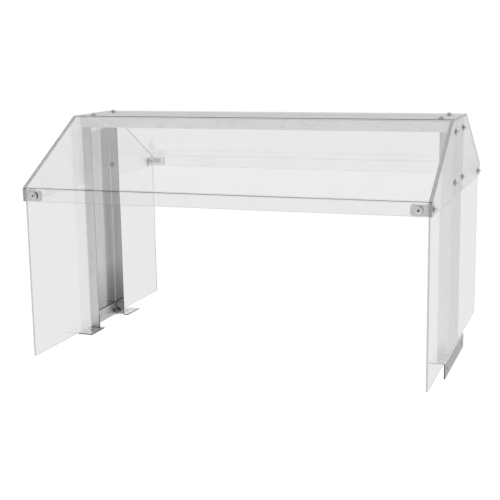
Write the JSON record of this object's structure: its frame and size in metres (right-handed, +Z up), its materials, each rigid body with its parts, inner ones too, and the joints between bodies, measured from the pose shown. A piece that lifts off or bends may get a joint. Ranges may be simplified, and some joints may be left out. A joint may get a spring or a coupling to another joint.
{
  "type": "sneeze guard",
  "caption": "Double-sided buffet sneeze guard: bent clear canopy, gables and end panels on steel channel posts, crossbar and counter brackets.",
  "frame": {"origin": "middle of the guard in plan, at the lowest point, which is the bottom edge of the leg that hangs over the counter's end; the counter top is 45 mm above it", "axes": "+X along the width towards the end with the hanging leg, +Y from the front to the rear, +Z up"},
  "size_m": [1.2322, 0.9272, 0.7636],
  "materials": {
    "clear_acrylic": "polished clear sheet with saw-cut, flame-polished edges",
    "polished_steel": "bright polished stainless steel",
    "brushed_steel": "fine brushed stainless steel",
    "screw_steel": "bright stainless steel fasteners"
  },
  "bodies": {
    "root": {"canopy": "clear_acrylic", "crossbar": "polished_steel", "front_left_corner_bracket": "polished_steel", "front_left_corner_screw": "screw_steel", "front_left_corner_washer": "screw_steel", "front_left_foot_screw": "screw_steel", "front_left_lip_screw": "screw_steel", "front_left_lip_washer": "screw_steel", "front_left_lower_panel_screw": "screw_steel", "front_left_lower_panel_washer": "screw_steel", "front_left_top_screw": "screw_steel", "front_left_top_washer": "screw_steel", "front_left_upper_panel_screw": "screw_steel", "front_left_upper_panel_washer": "screw_steel", "front_right_corner_bracket": "polished_steel", "front_right_corner_screw": "screw_steel", "front_right_corner_washer": "screw_steel", "front_right_foot_screw": "screw_steel", "front_right_lip_screw": "screw_steel", "front_right_lip_washer": "screw_steel", "front_right_lower_panel_screw": "screw_steel", "front_right_lower_panel_washer": "screw_steel", "front_right_top_screw": "screw_steel", "front_right_top_washer": "screw_steel", "front_right_upper_panel_screw": "screw_steel", "front_right_upper_panel_washer": "screw_steel", "left_counter_bracket": "polished_steel", "left_end_panel": "clear_acrylic", "left_gable": "clear_acrylic", "left_post": "brushed_steel", "rear_left_corner_bracket": "polished_steel", "rear_left_corner_screw": "screw_steel", "rear_left_corner_washer": "screw_steel", "rear_left_flange_screw": "screw_steel", "rear_left_foot_screw": "screw_steel", "rear_left_lip_screw": "screw_steel", "rear_left_lip_washer": "screw_steel", "rear_left_lower_panel_screw": "screw_steel", "rear_left_lower_panel_washer": "screw_steel", "rear_left_top_screw": "screw_steel", "rear_left_top_washer": "screw_steel", "rear_left_upper_panel_screw": "screw_steel", "rear_left_upper_panel_washer": "screw_steel", "rear_right_corner_bracket": "polished_steel", "rear_right_corner_screw": "screw_steel", "rear_right_corner_washer": "screw_steel", "rear_right_flange_screw": "screw_steel", "rear_right_foot_screw": "screw_steel", "rear_right_lip_screw": "screw_steel", "rear_right_lip_washer": "screw_steel", "rear_right_lower_panel_screw": "screw_steel", "rear_right_lower_panel_washer": "screw_steel", "rear_right_top_screw": "screw_steel", "rear_right_top_washer": "screw_steel", "rear_right_upper_panel_screw": "screw_steel", "rear_right_upper_panel_washer": "screw_steel", "right_counter_bracket": "polished_steel", "right_end_panel": "clear_acrylic", "right_gable": "clear_acrylic", "right_post": "brushed_steel"}
  },
  "joints": []
}
